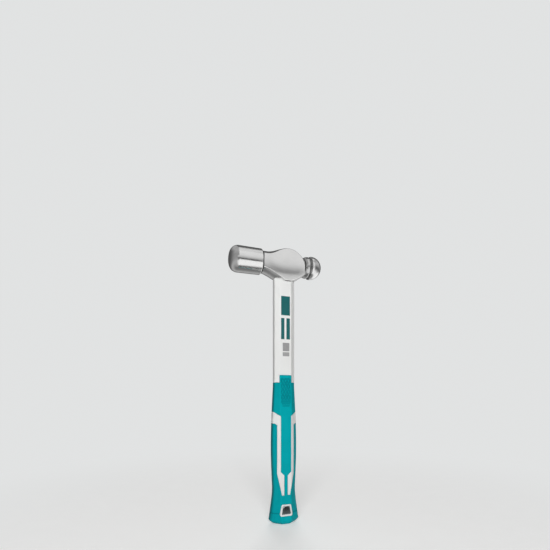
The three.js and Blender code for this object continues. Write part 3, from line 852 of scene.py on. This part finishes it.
def hole_frame(name, inset):
    """The hanging hole's form, set in from the outer edge of its frame."""
    lean = (HOLE["wide"] - HOLE["narrow"]) / 2 / (HOLE["top"] - HOLE["foot"])
    low, high = HOLE["foot"] + inset, HOLE["top"] - inset
    slant = inset * math.hypot(1, lean)

    def half(z):
        return HOLE["wide"] / 2 - (z - HOLE["foot"]) * lean - slant
    corners = [(-half(low), low), (half(low), low), (half(high), high), (-half(high), high)]
    radius = max(HOLE["corner"] - inset, HOLE["least_corner"])
    return prism(name, rounded(corners, radius, HOLE_CORNER_STEPS), -OVERRUN, OVERRUN)


def build_jacket(head_blank):
    body = tube("handle_jacket_detail", SHAFT, GRIP_TOP + GAP, JACKET_TOP)
    head_blank.location.z = -GAP * MM
    cut(body, head_blank)
    cut(body, tongue("tongue_space", GAP, TONGUE_SPACE_FOOT))
    join(body, tube("spine", SPINE, SPINE_FOOT, GRIP_TOP + OVERLAP))
    join(body, common(grip_form("pads"), windows("window_space", 0.0)))
    join(body, common(grip_form("eyelet"), hole_frame("frame", 0.0)))
    cut(body, hole_frame("hole", HOLE_BAND))
    cut(body, loft("core_space", [ellipse(*CORE_SPACE, z) for z in CORE_ENDS]))
    smooth(body)
    dress(body, WHITE, "white", "handle_jacket")


def build_liner():
    body = common(grip_form("hang_hole_liner_detail", LINER["sunk"]),
                  hole_frame("outer", HOLE_BAND + LINER["outer"]))
    cut(body, hole_frame("inner", HOLE_BAND + LINER["inner"]))
    smooth(body)
    dress(body, DARK, "dark", "hang_hole_liner")


def half_depth(z):
    return SHAFT[1] / 2 if z > GRIP_TOP else GRIP_AT(z)[1] / 2


def sunk(outline_object, surface, depth):
    """What lies in an outline between the surface and the same surface moved in."""
    inner = twin(surface)
    for v in inner.data.vertices:
        v.co.y += depth * MM
    other = twin(surface)
    for v in other.data.vertices:
        v.co.y -= depth * MM
    common(inner, other)
    return cut(outline_object, inner)


def dot(x, z, side):
    """Points and faces of one dot, at the front for side -1 and at the back for side 1."""
    floor = half_depth(z) - PANEL_DEPTH
    verts = []
    for radius, height in DOT_PROFILE:
        for k in range(DOT_SIDES):
            turn = 2 * math.pi * k / DOT_SIDES
            verts.append((x + radius * math.cos(turn), side * (floor + height),
                          z + radius * math.sin(turn)))
    top_start = (len(DOT_PROFILE) - 1) * DOT_SIDES
    faces = []
    for start in range(0, top_start, DOT_SIDES):
        for k in range(DOT_SIDES):
            a, b = start + k, start + (k + 1) % DOT_SIDES
            faces.append((a, b, b + DOT_SIDES, a + DOT_SIDES))
    faces.append(tuple(reversed(range(DOT_SIDES))))
    faces.append(tuple(range(top_start, top_start + DOT_SIDES)))
    return verts, faces if side < 0 else [face[::-1] for face in faces]


def build_dots():
    verts, faces = [], []
    for row in range(DOT_ROWS):
        z = FIRST_DOTS + row * DOT_PITCH[1]
        for step in DOT_STEPS[row % 2]:
            for side in (-1, 1):
                base = len(verts)
                dot_verts, dot_faces = dot(step * DOT_PITCH[0], z, side)
                verts += dot_verts
                faces += [tuple(base + k for k in face) for face in dot_faces]
    return new_object("dots", verts, faces)


def slab(name, half, low, high):
    """A box through the whole depth of the handle, for a panel, a bar or a groove."""
    return box(name, (-half, -OVERRUN, low), (half, OVERRUN, high))


def build_grip():
    body = grip_form("grip_sleeve_detail")
    low = GRIP_TOP - OVERLAP
    join(body, common(tube("tongue_body", SHAFT, low, TONGUE_TOP), tongue("tongue_cut", 0.0, low)))
    surface = twin(body)
    panel = sunk(slab("panel", PANEL_HALF, *PANEL), surface, PANEL_DEPTH)
    bars = sunk(join(*[slab("bar", *bar) for bar in BARS]), surface, BAR_DEPTH)
    bpy.data.objects.remove(surface)
    cut(body, panel)
    cut(body, bars)
    groove = slab("groove", OVERRUN, *BUTT_GROOVE)
    cut(groove, grip_form("inside", GROOVE_DEPTH))
    cut(body, groove)
    cut(body, tube("spine_space", SPINE, SPINE_FOOT - GAP, GRIP_TOP + OVERLAP, GAP))
    cut(body, windows("window_gap", GAP))
    cut(body, hole_frame("frame_gap", -GAP))
    join(body, build_dots())
    smooth(body)
    dress(body, TEAL, "teal", "grip_sleeve")


# The pieces
STEEL = steel_material()
WHITE = white_material()
TEAL = teal_material()
DARK = dark_material()

build_jacket(build_head())
build_grip()
build_liner()

carried_paints = {
    "eye_resin": resin_material(),
    "core_rod": fibre_material(),
    "front_label": label_material(),
}
for name, carried_paint in carried_paints.items():
    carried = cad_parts[name]
    carried.data.materials.clear()
    carried.data.materials.append(carried_paint)


# Floor, light and world, in metres, degrees and linear brightness
BACKDROP = (0.755, 0.765, 0.765)
FLOOR_HALF = 12.0
FLOOR_DROP = 0.0002
FLOOR_SHINE = 0.29
FLOOR_FADE = (0.08, 0.6)
WORLD_FILL = 0.07

# The studio that shows in reflections: brightness by elevation, in four directions
FRONT = [(-90, 0.14), (-80, 0.16), (-66, 1.0), (-20, 0.97), (-10, 0.75), (0, 0.6), (8, 0.66),
         (20, 0.77), (45, 0.84), (74, 0.72), (90, 0.45)]
BEYOND = [(-90, 0.14), (-68, 0.14), (-54, 1.0), (-32, 0.85), (-20, 0.41), (-6, 0.13), (6, 0.15),
          (15, 0.33), (32, 0.5), (43, 0.44), (60, 0.3), (80, 0.12)]
SIDE = [(-90, 0.30), (-55, 0.40), (-35, 0.44), (-12, 0.32), (20, 0.30), (45, 0.38), (60, 0.42),
        (90, 0.34)]
REAR = [(-90, 0.16), (-60, 0.2), (-40, 0.38), (-25, 0.45), (-5, 0.14), (15, 0.09), (60, 0.10),
        (90, 0.16)]
# Soft edges between them, as the degrees where each starts and where it is complete
BEYOND_STARTS = (29.0, 38.0)
BEYOND_TOP = (66.0, 56.0)
BELOW_SIDE = (-32.0, -18.0)
BELOW_TOP = (-24.0, -36.0)
BELOW_FOOT = (-75.0, -62.0)
BELOW_SHARE = 0.7
FORWARD_STARTS = (-7.0, 8.0)
FORWARD_ENDS = (112.0, 84.0)
HIGH_FOOT = (25.0, 55.0)
HIGH_SIDE = (0.0, -30.0)
LEFT_STARTS = (-150.0, -50.0)
REAR_ENDS = (122.0, 96.0)
# A round bright patch low on the right, its soft edge as cosines, and a faint strip of light
# further back, its limit to the left as the X of a direction
PATCH_AT = (0.781, 0.361, -0.510)
PATCH_EDGE = (math.cos(math.radians(29.0)), math.cos(math.radians(17.0)))
STRIP_LIMIT = (0.33, 0.40)
STRIP_STARTS = (128.0, 140.0)
STRIP_FOOT = (-40.0, -26.0)
STRIP_TOP = (17.0, 9.0)
STRIP_SHARE = 0.45

# Cards that glow, though no lamps, seen only in reflections, for the dark and light bands in the
# steel, in millimetres: two corners, and brightness by height
CARDS = {
    "poll_flag": ((-85, -94, 267), (-1, -93, 312),
                  [(267, 0.4), (269, 0.08), (284, 0.1), (290, 0.38), (312, 0.66)]),
    "cheek_flag": ((-2, -94.5, 286), (56, -93.5, 338),
                   [(286, 0.7), (290, 0.27), (300, 0.27), (310, 0.46), (322, 0.64), (338, 0.77)]),
}
# Lamps: place and power in watts
LAMPS = {"key": ((-0.55, -1.45, 0.9), 23.0), "rear": ((0.55, 1.45, 0.9), 12.0)}
LAMP_SIDE = 1.0
LAMP_TARGET = (0, 0, 0.15)


def mix_shaders(tree, factor, a, b):
    n = node(tree, "ShaderNodeMixShader")
    tree.links.new(factor, n.inputs[0])
    tree.links.new(a, n.inputs[1])
    tree.links.new(b, n.inputs[2])
    return n.outputs[0]


def build_floor():
    """A pale floor that fades into the backdrop's colour where the camera sees it far away."""
    mesh = bpy.data.meshes.new("floor")
    maker = bmesh.new()
    bmesh.ops.create_grid(maker, x_segments=1, y_segments=1, size=FLOOR_HALF)
    maker.to_mesh(mesh)
    maker.free()
    floor = bpy.data.objects.new("floor", mesh)
    scene.collection.objects.link(floor)
    floor.location.z = -FLOOR_DROP
    floor.visible_glossy = False
    m, tree, shader = material("floor_paint")
    paint(tree, shader, noise(tree, scale=40.0, detail=4.0), FLOOR_COLOURS)
    shader.inputs["Roughness"].default_value = 0.9
    shader.inputs["Specular IOR Level"].default_value = 0.1
    seen = node(tree, "ShaderNodeLightPath").outputs["Is Camera Ray"]
    shine = node(tree, "ShaderNodeEmission")
    tree.links.new(product(tree, seen, FLOOR_SHINE), shine.inputs["Strength"])
    lit = node(tree, "ShaderNodeAddShader")
    tree.links.new(shader.outputs[0], lit.inputs[0])
    tree.links.new(shine.outputs[0], lit.inputs[1])
    reach = node(tree, "ShaderNodeVectorMath", operation="LENGTH")
    tree.links.new(place(tree), reach.inputs[0])
    far = fade(tree, reach.outputs["Value"], *FLOOR_FADE)
    backdrop = node(tree, "ShaderNodeEmission", Color=(*BACKDROP, 1.0))
    shown = mix_shaders(tree, product(tree, far, seen), lit.outputs[0], backdrop.outputs[0])
    tree.links.new(shown, surface_of(tree))
    mesh.materials.append(m)


def step(tree, value, edge):
    """0 at an edge's first degrees, 1 at its second, smooth between."""
    low, high = (math.radians(degrees) for degrees in edge)
    return fade(tree, value, low, high) if low < high else fade(tree, value, high, low, 1.0, 0.0)


def studio_colour(tree):
    """The studio's brightness in each direction of the world."""
    ray = place(tree, "Generated")
    heading = parts_of(tree, ray)
    azimuth = maths(tree, "ARCTAN2", heading["X"], product(tree, heading["Y"], -1.0))
    elevation = maths(tree, "ARCSINE", heading["Z"])
    upward = maths(tree, "MULTIPLY_ADD", elevation, 1.0 / math.pi, 0.5)
    # On these ramps 0 is straight down and 1 straight up
    front, beyond, side, rear = (
        ramp(tree, upward, greys([((degrees + 90.0) / 180.0, v) for degrees, v in rows]))
        for rows in (FRONT, BEYOND, SIDE, REAR))
    ahead = blend(tree, front, beyond, product(
        tree, step(tree, azimuth, BEYOND_STARTS), step(tree, elevation, BEYOND_TOP)))
    below = product(tree, step(tree, azimuth, BELOW_SIDE), step(tree, elevation, BELOW_TOP),
                    step(tree, elevation, BELOW_FOOT))
    forward = maths(tree, "MAXIMUM", step(tree, azimuth, FORWARD_STARTS),
                    product(tree, below, BELOW_SHARE))
    across = blend(tree, side, ahead, product(
        tree, forward, step(tree, azimuth, FORWARD_ENDS)))
    high_left = product(tree, step(tree, elevation, HIGH_FOOT), step(tree, azimuth, HIGH_SIDE))
    leftward = maths(tree, "MAXIMUM", step(tree, azimuth, LEFT_STARTS), high_left)
    around = blend(tree, rear, across, product(
        tree, leftward, step(tree, azimuth, REAR_ENDS)))
    patch = node(tree, "ShaderNodeVectorMath", operation="DOT_PRODUCT")
    tree.links.new(ray, patch.inputs[0])
    patch.inputs[1].default_value = PATCH_AT
    lit = node(tree, "ShaderNodeRGB").outputs[0]
    lit.default_value = (1.0, 1.0, 1.0, 1.0)
    around = blend(tree, around, lit, fade(tree, patch.outputs["Value"], *PATCH_EDGE))
    light = product(tree, fade(tree, heading["X"], *STRIP_LIMIT), step(tree, azimuth, STRIP_STARTS),
                    step(tree, elevation, STRIP_FOOT), step(tree, elevation, STRIP_TOP))
    return blend(tree, around, lit, product(tree, light, STRIP_SHARE))


def build_world():
    """The backdrop for the camera, the studio for reflections and a faint fill for the rest."""
    world = bpy.data.worlds.new("studio")
    scene.world = world
    world.use_nodes = True
    tree = world.node_tree
    tree.nodes.clear()
    out = node(tree, "ShaderNodeOutputWorld")
    path = node(tree, "ShaderNodeLightPath")
    studio = node(tree, "ShaderNodeBackground", Strength=1.0)
    seen = node(tree, "ShaderNodeBackground", Color=(*BACKDROP, 1.0), Strength=1.0)
    fill = node(tree, "ShaderNodeBackground", Color=(1.0, 1.0, 1.0, 1.0), Strength=WORLD_FILL)
    unseen = mix_shaders(tree, path.outputs["Is Glossy Ray"], fill.outputs[0], studio.outputs[0])
    shown = mix_shaders(tree, path.outputs["Is Camera Ray"], unseen, seen.outputs[0])
    tree.links.new(shown, out.inputs["Surface"])
    tree.links.new(studio_colour(tree), studio.inputs["Color"])


def lamp(name, spot, power):
    data = bpy.data.lights.new(name, "AREA")
    data.shape = "RECTANGLE"
    data.size = data.size_y = LAMP_SIDE
    data.energy = power
    obj = bpy.data.objects.new(name, data)
    scene.collection.objects.link(obj)
    obj.location = spot
    obj.rotation_euler = (Vector(LAMP_TARGET) - Vector(spot)).to_track_quat("-Z", "Y").to_euler()
    obj.visible_camera = False
    obj.visible_glossy = False


def card(name, low, high, rows):
    m, tree, shader = material(name + "_paint")
    height = parts_of(tree, place(tree, "Generated"))["Z"]
    shares = [((z - low[2]) / (high[2] - low[2]), v) for z, v in rows]
    glow = node(tree, "ShaderNodeEmission")
    tree.links.new(ramp(tree, height, greys(shares)), glow.inputs["Color"])
    tree.links.new(glow.outputs[0], surface_of(tree))
    tree.nodes.remove(shader)
    obj = box(name, low, high)
    obj.data.materials.append(m)
    obj.visible_camera = False
    obj.visible_diffuse = False
    obj.visible_shadow = False
    obj.visible_transmission = False


build_floor()
build_world()
for name, (low, high, rows) in CARDS.items():
    card(name, low, high, rows)
for name, (spot, power) in LAMPS.items():
    lamp(name, spot, power)

scene.view_settings.view_transform = "Standard"

low, high = cad_box
